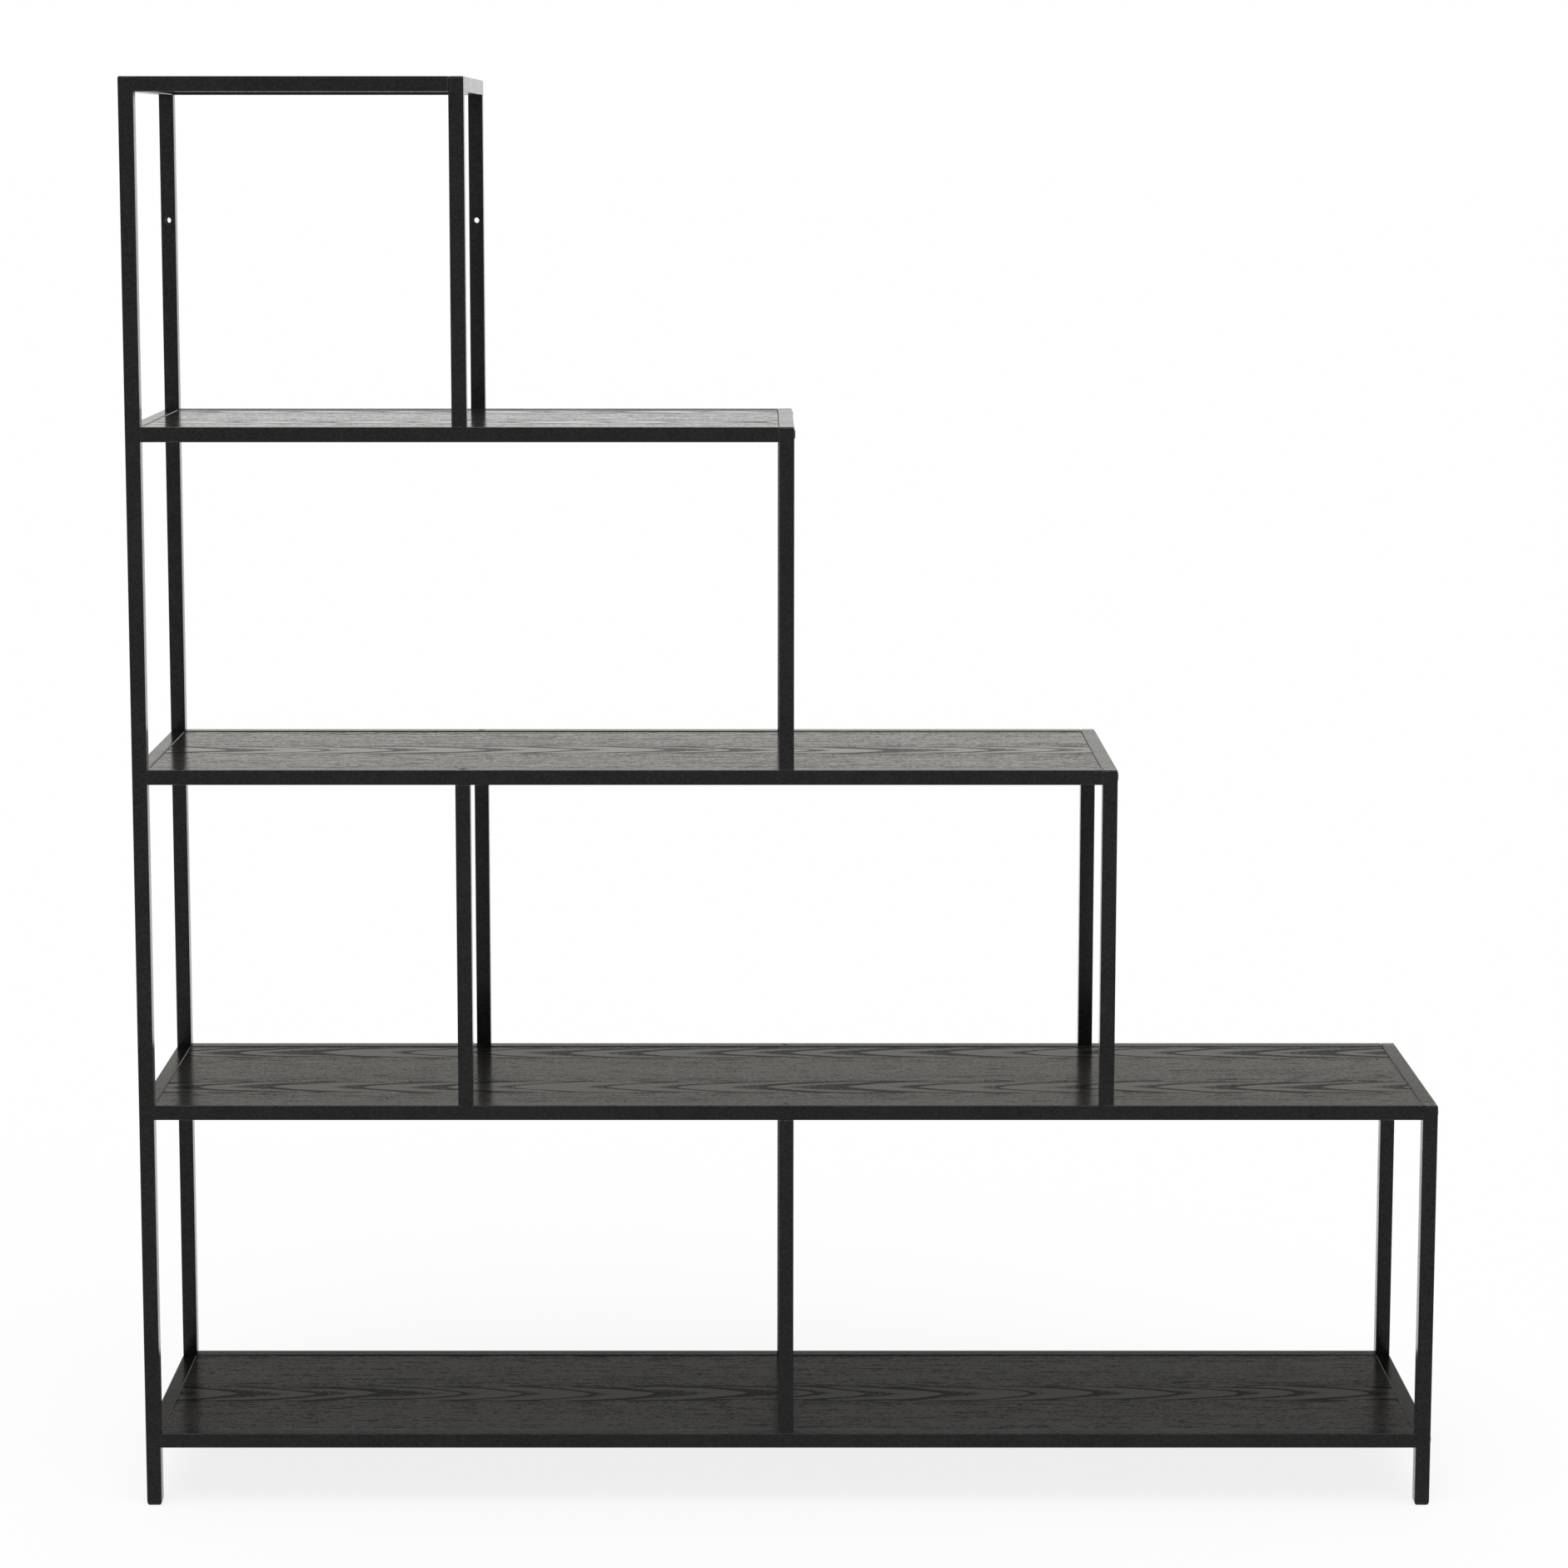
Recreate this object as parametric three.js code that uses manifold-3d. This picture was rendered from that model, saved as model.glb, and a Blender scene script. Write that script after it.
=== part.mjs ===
// Staircase bookshelf: a frame of black square steel tube that steps down to the right,
// with four wood-look panels lying in its shelf frames.
// Millimetres. +X is right, +Y is back, +Z is up, and the front of the shelf faces -Y.
// The origin is on the floor, in the middle of the box round the whole shelf.

import * as THREE from 'three';
import { mergeVertices } from 'three/addons/utils/BufferGeometryUtils.js';
import Module from 'manifold-3d';

// Outer sizes of the frame. Each width runs from the left side to the right end of that tier.
const frameDepth = 350;
const baseWidth = 1655;
const middleWidth = 1242;
const upperWidth = 834;
const topWidth = 426;
const baseShelfHeight = 96;
const tierPitch = 432.5;

// Square tube
const tubeSize = 19;
const tubeWall = 1.25;
const tubeCornerRadius = 1.5;
const endPlateThickness = 3;

// Panels, and the welded tabs that carry them
const panelThickness = 15;
const panelGap = 0.75;
const panelRecess = 0.8;
const panelEdgeEase = 0.75;
const tabLength = 30;
const tabReach = 16;
const tabThickness = 2;
const tabSpacing = 400;

// Tongues on the ends of the long rails, which sit in slots of the posts
const tongueSize = 12;
const tongueGrip = 7;

// Studs under the posts that stand on a rail
const studRadius = 4;
const studGrip = 7;

// Bolts. Those through the right-hand posts have a button head on the post's side, and those
// down into the inner posts a countersunk head that is flush with the rail's top.
const boltRadius = 3;
const boltTipChamfer = 0.75;
const boltGrip = 8;
const boltSocketWidth = 4;
const boltSocketDepth = 1.25;
const buttonHeadRadius = 5.5;
const buttonHeadHeight = 1.75;
const flushHeadRadius = 4.8;
const flushHeadRim = 0.4;

// Plastic feet, pushed into the ends of the four corner posts
const footHeight = 7;
const footEdgeRound = 3;
const footStemHeight = 22;

// Holes for screws into a wall, and for the paint to drain
const wallHoleRadius = 3.75;
const wallHoleDrop = 183;
const drainHoleRadius = 2.5;
const drainHoleInset = 30;

// Clearances, and how far a cut runs past what it cuts
const pinClearance = 0.3;
const tongueClearance = 0.3;
const footClearance = 0.25;
const cutOverrun = 1;
const mergeDistance = 0.0001;

// How finely round shapes are faceted
const cornerSteps = 3;
const roundSteps = 14;
const edgeSteps = 3;

// The crown of a button head: shares of its radius, each with a share of its height
const crownShares = [[1, 0.35], [0.87, 0.78], [0.6, 1]];

// Worked out from the sizes above
const tubeInside = tubeSize - 2 * tubeWall;
const halfTube = tubeSize / 2;
const postLine = frameDepth / 2 - halfTube;
const sideRailLength = frameDepth - 2 * tubeSize;
const tongueReach = tubeWall + tongueGrip;
const studLength = tubeWall + studGrip;
const boltLength = tubeSize + endPlateThickness + boltGrip;
const overallWidth = baseWidth + buttonHeadHeight;

// The five frames of the shelf, from the floor up
const base = { name: 'base', width: baseWidth, height: baseShelfHeight };
const lower = { name: 'lower', width: baseWidth, height: base.height + tierPitch };
const middle = { name: 'middle', width: middleWidth, height: lower.height + tierPitch };
const upper = { name: 'upper', width: upperWidth, height: middle.height + tierPitch };
const top = { name: 'top', width: topWidth, height: upper.height + tierPitch };
const shelves = [base, lower, middle, upper];
const levels = [...shelves, top];
const wallHoleHeight = top.height - wallHoleDrop;

// Front and back: the side's place along Y, and the way from it towards the inside
const sides = [
  { name: 'front', y: -postLine, inward: 1 },
  { name: 'back', y: postLine, inward: -1 },
];

// The middle of the post at a frame's right end
const postMiddle = (level) => level.width - halfTube;

// Where posts stand on the long rails of each frame, and where bolts go down through them
const standingOn = {
  base: [postMiddle(upper)],
  lower: [postMiddle(top), postMiddle(middle)],
  middle: [postMiddle(upper)],
  upper: [postMiddle(top)],
  top: [],
};
const boltedDownThrough = {
  base: [],
  lower: [postMiddle(upper)],
  middle: [postMiddle(top)],
  upper: [],
  top: [],
};

const blackSteel = new THREE.MeshStandardMaterial({ color: 0x1d1d1f, roughness: 0.45, metalness: 0.3 });
const blackWood = new THREE.MeshStandardMaterial({ color: 0x2b2724, roughness: 0.3, metalness: 0 });
const blackPlastic = new THREE.MeshStandardMaterial({ color: 0x161616, roughness: 0.6, metalness: 0 });
const darkBolt = new THREE.MeshStandardMaterial({ color: 0x3a3a3a, roughness: 0.35, metalness: 0.8 });

const wasm = await Module();
wasm.setup();

// A solid for joining and cutting, from a closed geometry
function solidFrom(geometry) {
  geometry.deleteAttribute('normal');
  geometry.deleteAttribute('uv');
  const merged = mergeVertices(geometry, mergeDistance);
  return new wasm.Manifold(new wasm.Mesh({
    numProp: 3,
    vertProperties: merged.attributes.position.array,
    triVerts: Uint32Array.from(merged.index.array),
  }));
}

// The geometry of a solid, with a normal for each face
function geometryFrom(solid) {
  const { vertProperties, triVerts } = solid.getMesh();
  const shared = new THREE.BufferGeometry();
  shared.setAttribute('position', new THREE.BufferAttribute(vertProperties, 3));
  shared.setIndex(new THREE.BufferAttribute(triVerts, 1));
  const faceted = shared.toNonIndexed();
  faceted.computeVertexNormals();
  return faceted;
}

// Shapes are made along +Z and then laid along the axis they need
const upright = (geometry) => geometry;
const alongX = (geometry) => geometry.rotateY(Math.PI / 2);
const alongY = (geometry) => geometry.rotateX(-Math.PI / 2);

// A square outline round the origin, with round corners
function roundedSquare(size, radius) {
  const reach = size / 2 - radius;
  const points = [];
  for (let corner = 0; corner < 4; corner += 1) {
    const start = corner * Math.PI / 2;
    const middleAngle = start + Math.PI / 4;
    const centreX = reach * Math.sign(Math.cos(middleAngle));
    const centreY = reach * Math.sign(Math.sin(middleAngle));
    for (let step = 0; step <= cornerSteps; step += 1) {
      const angle = start + (step / cornerSteps) * Math.PI / 2;
      points.push(new THREE.Vector2(
        centreX + radius * Math.cos(angle),
        centreY + radius * Math.sin(angle),
      ));
    }
  }
  return new THREE.Shape(points);
}

function block(sizeX, sizeY, sizeZ, x, y, z) {
  return solidFrom(new THREE.BoxGeometry(sizeX, sizeY, sizeZ).translate(x, y, z));
}

// A round bar with its middle at a point
function roundBar(radius, length, lay, x, y, z) {
  const bar = new THREE.CylinderGeometry(radius, radius, length, roundSteps).rotateX(Math.PI / 2);
  return solidFrom(lay(bar).translate(x, y, z));
}

// A round shape turned about +Z, from its outline: pairs of a radius and a height
function turned(outline) {
  const points = outline.map(([radius, height]) => new THREE.Vector2(radius, height));
  return new THREE.LatheGeometry(points, roundSteps).rotateX(Math.PI / 2);
}

// A square tube from the origin along an axis. An end without a plate is open.
function squareTube(length, startPlate, endPlate, lay) {
  const outline = roundedSquare(tubeSize, tubeCornerRadius);
  const bar = new THREE.ExtrudeGeometry(outline, { depth: length, bevelEnabled: false });
  const from = startPlate > 0 ? startPlate : -cutOverrun;
  const to = endPlate > 0 ? length - endPlate : length + cutOverrun;
  const hollow = new THREE.BoxGeometry(tubeInside, tubeInside, to - from);
  hollow.translate(0, 0, (from + to) / 2);
  return solidFrom(lay(bar)).subtract(solidFrom(lay(hollow)));
}

// The distances along a length at which evenly spread tabs sit
function tabPlaces(length) {
  const count = Math.max(1, Math.round(length / tabSpacing));
  return Array.from({ length: count }, (_, index) => length * (index + 0.5) / count);
}

// The height of a tab's middle below the top of its frame
const tabDrop = panelRecess + panelThickness + tabThickness / 2;
const tabFullReach = tabReach + tubeWall;
const tabMiddle = halfTube - tubeWall + tabFullReach / 2;

// The hole for a flush bolt, from the top of a rail down through it
function countersunkHole(x) {
  const narrow = boltRadius + pinClearance;
  const wide = flushHeadRadius + pinClearance;
  const rim = flushHeadRim + pinClearance;
  const hole = turned([
    [0, -tubeSize - cutOverrun],
    [narrow, -tubeSize - cutOverrun],
    [narrow, narrow - wide - rim],
    [wide, -rim],
    [wide, cutOverrun],
    [0, cutOverrun],
  ]);
  return solidFrom(hole.translate(x, 0, halfTube));
}

// A front or back rail, along +X from its left end. A tongue holds its left end to the post,
// and a bolt its right end, but the top rails have a tongue at both ends.
function longRail(level, inward) {
  const length = level.width - 2 * tubeSize;
  let solid = squareTube(length, endPlateThickness, endPlateThickness, alongX);
  const tongueLength = tongueReach + endPlateThickness / 2;
  const tongueMiddle = endPlateThickness / 2 - tongueLength / 2;
  solid = solid.add(block(tongueLength, tongueSize, tongueSize, tongueMiddle, 0, 0));
  if (level === top) {
    solid = solid.add(block(tongueLength, tongueSize, tongueSize, length - tongueMiddle, 0, 0));
    const drain = roundBar(drainHoleRadius, tubeSize, alongY, drainHoleInset, inward * halfTube, 0);
    return solid.subtract(drain);
  }
  const boltHole = boltRadius + pinClearance;
  const plateCut = endPlateThickness + 2 * cutOverrun;
  solid = solid.subtract(roundBar(boltHole, plateCut, alongX, length - endPlateThickness / 2, 0, 0));
  for (const x of standingOn[level.name]) {
    const hole = roundBar(studRadius + pinClearance, tubeSize, upright, x - tubeSize, 0, halfTube);
    solid = solid.subtract(hole);
  }
  for (const x of boltedDownThrough[level.name]) {
    solid = solid.subtract(countersunkHole(x - tubeSize));
  }
  for (const x of tabPlaces(length)) {
    const tab = block(tabLength, tabFullReach, tabThickness, x, inward * tabMiddle, halfTube - tabDrop);
    solid = solid.add(tab);
  }
  return solid;
}

// A rail welded between a front and a back post, along +Y from the front post
function sideRail(level, inward) {
  let solid = squareTube(sideRailLength, 0, 0, alongY);
  if (level === top) {
    return solid;
  }
  for (const y of tabPlaces(sideRailLength)) {
    const tab = block(tabFullReach, tabLength, tabThickness, inward * tabMiddle, y, halfTube - tabDrop);
    solid = solid.add(tab);
  }
  return solid;
}

// The slot for a tongue, in the wall of a post that faces the way of the rail
function tongueSlot(way, z) {
  const size = tongueSize + 2 * tongueClearance;
  return block(tubeWall + 2 * cutOverrun, size, size, way * (halfTube - tubeWall / 2), 0, z);
}

// The stud under a post, welded into its bottom plate
function stud() {
  const length = studLength + endPlateThickness / 2;
  return roundBar(studRadius, length, upright, 0, 0, endPlateThickness / 2 - length / 2);
}

const wallHole = (z) => roundBar(wallHoleRadius, tubeSize + 2 * cutOverrun, alongY, 0, 0, z);
const crossHole = (z) => roundBar(boltRadius + pinClearance, tubeSize + 2 * cutOverrun, alongX, 0, 0, z);

// One of the two posts that run the whole height at the left side
function leftPost(side) {
  let solid = squareTube(top.height - footHeight, 0, endPlateThickness, upright);
  for (const level of levels) {
    solid = solid.subtract(tongueSlot(1, level.height - halfTube - footHeight));
  }
  if (side.name === 'back') {
    solid = solid.subtract(wallHole(wallHoleHeight - footHeight));
  }
  return solid;
}

// A post at the right end of a frame, which stands on the frame below it
function rightPost(level, below, side) {
  const length = level.height - below.height;
  const solid = squareTube(length, endPlateThickness, endPlateThickness, upright).add(stud());
  if (level !== top) {
    return solid.subtract(crossHole(length - halfTube));
  }
  const slotted = solid.subtract(tongueSlot(-1, length - halfTube));
  if (side.name === 'front') {
    return slotted;
  }
  return slotted.subtract(wallHole(wallHoleHeight - below.height));
}

// A post at the right end of the two lowest frames, which stands on a foot
function rightCornerPost() {
  const length = lower.height - footHeight;
  let solid = squareTube(length, 0, endPlateThickness, upright);
  for (const level of [base, lower]) {
    solid = solid.subtract(crossHole(level.height - halfTube - footHeight));
  }
  return solid;
}

// A post under the middle of a frame, which stands on the frame below and is bolted from above
function innerPost(level, below) {
  const length = level.height - tubeSize - below.height;
  const solid = squareTube(length, endPlateThickness, endPlateThickness, upright).add(stud());
  const plateCut = endPlateThickness + 2 * cutOverrun;
  const hole = roundBar(boltRadius + pinClearance, plateCut, upright, 0, 0, length - endPlateThickness / 2);
  return solid.subtract(hole);
}

// A panel with eased edges, its middle over the origin and its underside at zero
function panel(level) {
  const width = level.width - 2 * (tubeSize + panelGap + panelEdgeEase);
  const depth = sideRailLength - 2 * (panelGap + panelEdgeEase);
  const outline = new THREE.Shape([
    new THREE.Vector2(-width / 2, -depth / 2),
    new THREE.Vector2(width / 2, -depth / 2),
    new THREE.Vector2(width / 2, depth / 2),
    new THREE.Vector2(-width / 2, depth / 2),
  ]);
  return new THREE.ExtrudeGeometry(outline, {
    depth: panelThickness - 2 * panelEdgeEase,
    bevelThickness: panelEdgeEase,
    bevelSize: panelEdgeEase,
    bevelSegments: 1,
  }).translate(0, 0, panelEdgeEase);
}

// A bolt along +Z, whose shank reaches down from zero. Its head is an outline and a top height.
function boltWith(headOutline, headTop) {
  const body = solidFrom(turned([
    [0, -boltLength],
    [boltRadius - boltTipChamfer, -boltLength],
    [boltRadius, boltTipChamfer - boltLength],
    ...headOutline,
    [0, headTop],
  ]));
  const socketRadius = boltSocketWidth / Math.sqrt(3);
  const socketHeight = boltSocketDepth + cutOverrun;
  const socket = new THREE.CylinderGeometry(socketRadius, socketRadius, socketHeight, 6);
  socket.rotateX(Math.PI / 2).translate(0, 0, headTop - boltSocketDepth + socketHeight / 2);
  return body.subtract(solidFrom(socket));
}

// The head rests on zero
function buttonBolt() {
  const crown = crownShares.map(([radiusShare, heightShare]) => (
    [radiusShare * buttonHeadRadius, heightShare * buttonHeadHeight]
  ));
  return boltWith([[boltRadius, 0], [buttonHeadRadius, 0], ...crown], buttonHeadHeight);
}

// The head lies under zero, with its top flush
function flushBolt() {
  const coneFoot = boltRadius - flushHeadRadius - flushHeadRim;
  return boltWith([[boltRadius, coneFoot], [flushHeadRadius, -flushHeadRim], [flushHeadRadius, 0]], 0);
}

// A foot: a stem inside the post, and a flange under it whose lower edges are rounded
function foot() {
  const flat = tubeSize - 2 * footEdgeRound;
  const rounded = new THREE.ExtrudeGeometry(roundedSquare(flat, Math.min(tubeCornerRadius, flat / 4)), {
    depth: footHeight - footEdgeRound,
    bevelThickness: footEdgeRound,
    bevelSize: footEdgeRound,
    bevelSegments: edgeSteps,
  }).translate(0, 0, footEdgeRound);
  const above = footHeight + footEdgeRound;
  const trimmed = solidFrom(rounded).subtract(block(
    tubeSize + cutOverrun,
    tubeSize + cutOverrun,
    above,
    0,
    0,
    footHeight + above / 2,
  ));
  const stemSize = tubeInside - 2 * footClearance;
  const stemSunk = footHeight / 2;
  const stemLength = footStemHeight + stemSunk;
  return trimmed.add(block(stemSize, stemSize, stemLength, 0, 0, footHeight + footStemHeight - stemLength / 2));
}

// Everything below is placed from the left side of the frame, and the group is then centred
const bookshelf = new THREE.Group();
bookshelf.name = 'staircase_bookshelf';
const frame = new THREE.Group();
frame.position.x = -overallWidth / 2;
bookshelf.add(frame);

function place(group, name, shape, material, x, y, z) {
  const geometry = shape.isBufferGeometry ? shape : geometryFrom(shape);
  const mesh = new THREE.Mesh(geometry, material);
  mesh.name = name;
  mesh.position.set(x, y, z);
  group.add(mesh);
}

// The frame of one level: two long rails and two side rails, hung from its top surface
function addLevelFrame(level) {
  const group = new THREE.Group();
  group.position.z = level.height;
  for (const side of sides) {
    const rail = longRail(level, side.inward);
    place(group, `${level.name}_${side.name}_rail`, rail, blackSteel, tubeSize, side.y, -halfTube);
  }
  const railStart = -sideRailLength / 2;
  place(group, `${level.name}_left_rail`, sideRail(level, 1), blackSteel, halfTube, railStart, -halfTube);
  const rightRail = sideRail(level, -1);
  place(group, `${level.name}_right_rail`, rightRail, blackSteel, postMiddle(level), railStart, -halfTube);
  frame.add(group);
}

function addPosts() {
  for (const side of sides) {
    const add = (name, solid, x, z) => {
      place(frame, `${name}_${side.name}_post`, solid, blackSteel, x, side.y, z);
    };
    add('left', leftPost(side), halfTube, footHeight);
    add('lower_right', rightCornerPost(), postMiddle(lower), footHeight);
    add('middle_right', rightPost(middle, lower, side), postMiddle(middle), lower.height);
    add('upper_right', rightPost(upper, middle, side), postMiddle(upper), middle.height);
    add('top_right', rightPost(top, upper, side), postMiddle(top), upper.height);
    add('lower_inner', innerPost(lower, base), postMiddle(upper), base.height);
    add('middle_inner', innerPost(middle, lower), postMiddle(top), lower.height);
  }
}

function addFasteners() {
  for (const side of sides) {
    for (const shelf of shelves) {
      const sideBolt = geometryFrom(buttonBolt()).rotateY(Math.PI / 2);
      const name = `${shelf.name}_${side.name}_bolt`;
      place(frame, name, sideBolt, darkBolt, shelf.width, side.y, shelf.height - halfTube);
    }
    for (const shelf of [lower, middle]) {
      const [x] = boltedDownThrough[shelf.name];
      const name = `${shelf.name}_inner_${side.name}_bolt`;
      place(frame, name, flushBolt(), darkBolt, x, side.y, shelf.height);
    }
  }
}

function addFeet() {
  for (const side of sides) {
    place(frame, `left_${side.name}_foot`, foot(), blackPlastic, halfTube, side.y, 0);
    place(frame, `right_${side.name}_foot`, foot(), blackPlastic, postMiddle(base), side.y, 0);
  }
}

function addPanels() {
  for (const shelf of shelves) {
    const underside = shelf.height - panelRecess - panelThickness;
    place(frame, `${shelf.name}_panel`, panel(shelf), blackWood, shelf.width / 2, 0, underside);
  }
}

levels.forEach(addLevelFrame);
addPosts();
addFasteners();
addFeet();
addPanels();

export default bookshelf;
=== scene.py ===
import math
from itertools import product

import bpy
from mathutils import Euler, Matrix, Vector


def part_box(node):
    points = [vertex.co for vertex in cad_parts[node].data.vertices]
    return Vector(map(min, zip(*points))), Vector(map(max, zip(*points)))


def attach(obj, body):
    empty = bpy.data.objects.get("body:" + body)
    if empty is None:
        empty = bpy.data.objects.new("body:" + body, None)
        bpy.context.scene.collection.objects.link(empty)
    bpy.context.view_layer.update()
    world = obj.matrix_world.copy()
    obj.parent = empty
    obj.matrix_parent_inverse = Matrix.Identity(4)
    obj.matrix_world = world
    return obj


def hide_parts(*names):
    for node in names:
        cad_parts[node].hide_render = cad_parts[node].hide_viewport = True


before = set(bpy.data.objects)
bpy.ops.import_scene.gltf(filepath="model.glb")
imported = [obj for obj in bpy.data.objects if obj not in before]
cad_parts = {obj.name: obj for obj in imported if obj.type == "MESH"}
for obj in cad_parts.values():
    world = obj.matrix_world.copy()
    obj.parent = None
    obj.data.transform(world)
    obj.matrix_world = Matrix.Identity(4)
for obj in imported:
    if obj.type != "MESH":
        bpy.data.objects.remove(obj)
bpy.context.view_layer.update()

# Staircase bookshelf: the finished look of a black powder-coated steel frame
# with four black ash panels. Metres, +X to the right end, +Y to the back, +Z up.

# Square tube of the frame
CORNER_RADIUS = 0.0015
TUBE_WALL = 0.00125
END_PLATE = 0.003
END_EASE = 0.0005
WELDED_EASE = 0.0001
CAP_THICKNESS = 0.0012
CAP_INSET = 0.0008
CAP_CORNER = 0.0014
CORNER_STEPS = 7
EASE_STEPS = 4
# How far an end must be rounded, from 0 to 1, before its coat is painted lighter, as wear and as a
# painted highlight along the rim
LEAST_WORN_AND_HIGHLIT_ROUNDING = 0.01

# Holes through the two back posts for wall screws, and in the top rails for draining
WALL_HOLE_RADIUS = 0.00375
WALL_HOLE_DROP = 0.183
DRAIN_HOLE_RADIUS = 0.0025
DRAIN_HOLE_INSET = 0.03
HOLE_SIDES = 40

# Tabs under the panels
TAB_LENGTH = 0.03
TAB_REACH = 0.016
TAB_THICKNESS = 0.002
TAB_CORNER = 0.004
TAB_SPACING = 0.4

# Panels
PANEL_EASE = 0.0004
PANEL_EASE_STEPS = 3

# Bolts: button heads on the right-hand posts, flush heads in the rails over the inner posts
HEAD_RADIUS = 0.0055
HEAD_HEIGHT = 0.00125
HEAD_RIM = 0.0004
HEAD_FLAT = 0.0033
HEAD_CHAMFER = 0.00025
FLUSH_HEAD_RADIUS = 0.0048
FLUSH_HEAD_RIM = 0.0004
FLUSH_HEAD_GAP = 0.0003
SHANK_RADIUS = 0.003
SHANK_LENGTH = 0.03
SOCKET_ACROSS = 0.004
SOCKET_DEPTH = 0.0018
HEAD_STEPS = 10
BOLT_SIDES = 40
BOLT_SEED = 7

# Feet
FOOT_TAPER_HEIGHT = 0.0062
FOOT_TAPER_INSET = 0.0028
FOOT_RIM_EASE = 0.0001
STEM_HEIGHT = 0.022
STEM_CLEARANCE = 0.00025
STEM_EASE = 0.0012

# Faces that meet at less than this angle are shaded as one round surface
SMOOTH_BELOW = math.radians(32)

# Camera: the photograph's eye, turned down a little so that its shift stays small
EYE = (-0.039, -5.02, 1.743)
EYE_PITCH = math.radians(7.41)
LENS = 89.45
SENSOR = 36.0
EYE_SHIFT = (0.0162, -0.085)


# Places on the frame

LEVELS = ("base", "lower", "middle", "upper", "top")
SHELVES = LEVELS[:-1]
# Shelves that are bolted down into an inner post, each with the level whose end post stands over it
BOLTED_DOWN = {"lower": "upper", "middle": "top"}


def lowest(node):
    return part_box(node)[0]


def highest(node):
    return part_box(node)[1]


LEFT = lowest("left_front_post").x
TUBE = highest("left_front_post").x - LEFT
HALF_TUBE = TUBE / 2
FOOT_TOP = lowest("left_front_post").z
POST_LINE = {
    "front": lowest("left_front_post").y + HALF_TUBE,
    "back": highest("left_back_post").y - HALF_TUBE,
}
INWARD = {"front": 1, "back": -1}
RIGHTWARD = Vector((1, 0, 0))
BACKWARD = Vector((0, 1, 0))
UP = Vector((0, 0, 1))
# An end plate as thick as this leaves an end open: the hollow runs out past it
OPEN_END = -TUBE


def top_of(level):
    return highest(f"{level}_left_rail").z


def right_of(level):
    return highest(f"{level}_right_rail").x


def post_middle(level):
    """The middle, along X, of the post at a level's right end."""
    return right_of(level) - HALF_TUBE


# Node trees


class Socket:
    """An output of a node. Python's operators on it add Math nodes to its tree."""

    def __init__(self, graph, output):
        self.graph = graph
        self.output = output

    def __add__(self, other):
        return self.graph.math("ADD", self, other)

    def __sub__(self, other):
        return self.graph.math("SUBTRACT", self, other)

    def __rsub__(self, other):
        return self.graph.math("SUBTRACT", other, self)

    def __mul__(self, other):
        return self.graph.math("MULTIPLY", self, other)

    def __truediv__(self, other):
        return self.graph.math("DIVIDE", self, other)

    def __rtruediv__(self, other):
        return self.graph.math("DIVIDE", other, self)

    __radd__ = __add__
    __rmul__ = __mul__


def pick(sockets, name):
    """The socket with that number or, among the shown ones, that name."""
    if isinstance(name, int):
        return sockets[name]
    return next(socket for socket in sockets if socket.name == name and socket.enabled)


class Made:
    """A node just added, whose outputs are read by name or number."""

    def __init__(self, graph, node):
        self.graph = graph
        self.node = node

    def __getitem__(self, name):
        return Socket(self.graph, pick(self.node.outputs, name))


class Graph:
    """Adds nodes to one tree."""

    def __init__(self, tree):
        self.tree = tree

    def add(self, kind, settings=None, inputs=None):
        """A node of a kind, with its settings and then the values or links of its inputs."""
        node = self.tree.nodes.new(kind)
        for name, value in (settings or {}).items():
            if name == "stops":
                self.set_stops(node.color_ramp, value)
            else:
                setattr(node, name, value)
        for name, value in (inputs or {}).items():
            self.feed(pick(node.inputs, name), value)
        return Made(self, node)

    def set_stops(self, ramp, stops):
        while len(ramp.elements) < len(stops):
            ramp.elements.new(1.0)
        for element, (place, colour) in zip(ramp.elements, stops):
            element.position = place
            element.color = colour

    def feed(self, socket, value):
        if isinstance(value, Socket):
            self.tree.links.new(value.output, socket)
        elif isinstance(value, (list, tuple)) and isinstance(value[0], Socket):
            for one in reversed(value):
                self.tree.links.new(one.output, socket)
        else:
            socket.default_value = value

    def math(self, operation, *values):
        node = self.add("ShaderNodeMath", {"operation": operation}, dict(enumerate(values)))
        return node["Value"]

    def vector_math(self, operation, *values, result="Vector"):
        node = self.add("ShaderNodeVectorMath", {"operation": operation}, dict(enumerate(values)))
        return node[result]

    def smooth_step(self, value, start, end):
        """0 before start and 1 after end, with a soft change between."""
        settings = {"interpolation_type": "SMOOTHSTEP"}
        inputs = {"Value": value, "From Min": start, "From Max": end}
        return self.add("ShaderNodeMapRange", settings, inputs)["Result"]

    def combine(self, x, y, z):
        return self.add("ShaderNodeCombineXYZ", inputs={"X": x, "Y": y, "Z": z})["Vector"]


# Shapes


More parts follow.
